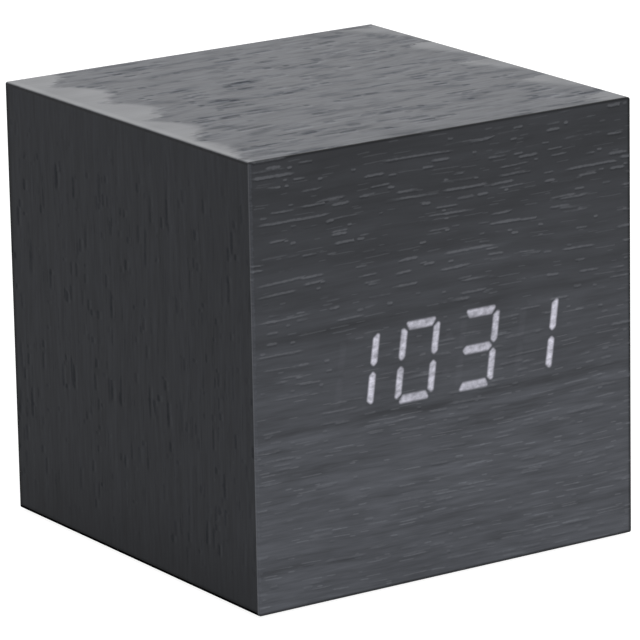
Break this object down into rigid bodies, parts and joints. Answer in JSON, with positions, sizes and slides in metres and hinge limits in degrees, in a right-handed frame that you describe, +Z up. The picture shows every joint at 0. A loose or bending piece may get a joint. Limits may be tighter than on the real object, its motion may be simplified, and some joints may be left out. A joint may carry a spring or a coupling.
{
  "type": "cube alarm clock",
  "caption": "Cube alarm clock in dark wood veneer, with lit digits that shine through the front, and a recessed rear panel with push buttons, a power socket and a hinged battery door.",
  "frame": {"origin": "middle of the case on the surface that it stands on", "axes": "+X to the right seen from the front, -Y out of the display face, +Z up"},
  "size_m": [0.08, 0.08, 0.0805],
  "materials": {
    "veneer": "charcoal-stained open-pore veneer, satin",
    "fibreboard": "raw dark fibreboard",
    "foot_rubber": "matt",
    "display_black": "moulded",
    "lit_lens": "glowing light bar",
    "dark_lens": "unlit light bar",
    "circuit_board": "solder mask",
    "led_phosphor": "cast",
    "tinned_metal": "tin plate",
    "pale_plastic": "moulded nylon",
    "zinc_screw": "zinc plate",
    "ribbon_sleeve": "extruded sleeve",
    "panel_plastic": "fine moulded texture",
    "black_screw": "black oxide",
    "button_plastic": "satin",
    "switch_plastic": "moulded",
    "socket_metal": "nickel plate",
    "buzzer_plastic": "moulded",
    "chip_epoxy": "moulded epoxy",
    "capacitor_sleeve": "shrunk sleeve",
    "cell_wrap": "plain foil wrap",
    "red_sleeve": "wire sleeve",
    "black_sleeve": "wire sleeve"
  },
  "bodies": {
    "case": {"front_board": "fibreboard", "top_board": "fibreboard", "bottom_board": "fibreboard", "left_board": "fibreboard", "right_board": "fibreboard", "front_veneer": "veneer", "top_veneer": "veneer", "bottom_veneer": "veneer", "left_veneer": "veneer", "right_veneer": "veneer", "corner_cleats": "fibreboard", "feet": "foot_rubber", "display_housing": "display_black", "lit_segments": "lit_lens", "dark_segments": "dark_lens", "led_board": "circuit_board", "led_chips": "led_phosphor", "display_pins": "tinned_metal", "display_board": "circuit_board", "display_spacers": "pale_plastic", "display_screws": "zinc_screw", "display_connector": "pale_plastic", "ribbon_cable": "ribbon_sleeve", "rear_panel": "panel_plastic", "rear_panel_screws": "black_screw", "control_board": "circuit_board", "control_board_screws": "zinc_screw", "switch_housings": "switch_plastic", "power_socket_shell": "socket_metal", "power_socket_tongue": "display_black", "microphone": "socket_metal", "buzzer": "buzzer_plastic", "clock_chip": "chip_epoxy", "crystal": "socket_metal", "capacitors": "capacitor_sleeve", "ribbon_header": "pale_plastic", "battery_cells": "cell_wrap", "contact_plates": "tinned_metal", "contact_springs": "tinned_metal", "red_lead": "red_sleeve", "black_lead": "black_sleeve"},
    "set_button": {"set_button": "button_plastic", "set_switch_plunger": "switch_plastic"},
    "up_button": {"up_button": "button_plastic", "up_switch_plunger": "switch_plastic"},
    "down_button": {"down_button": "button_plastic", "down_switch_plunger": "switch_plastic"},
    "battery_door": {"battery_door": "panel_plastic"}
  },
  "joints": [
    {"name": "set_press", "type": "slide", "parent": "case", "child": "set_button", "axis": [0, -1, 0], "range_m": [0, 0.0005], "stiffness_N_per_m": 2000, "springref_m": -0.0005},
    {"name": "up_press", "type": "slide", "parent": "case", "child": "up_button", "axis": [0, -1, 0], "range_m": [0, 0.0005], "stiffness_N_per_m": 2000, "springref_m": -0.0005},
    {"name": "down_press", "type": "slide", "parent": "case", "child": "down_button", "axis": [0, -1, 0], "range_m": [0, 0.0005], "stiffness_N_per_m": 2000, "springref_m": -0.0005},
    {"name": "battery_door_hinge", "type": "hinge", "parent": "case", "child": "battery_door", "pos_m": [0, 0.0372, 0.01247], "axis": [-1, 0, 0], "range_deg": [0, 90]}
  ]
}
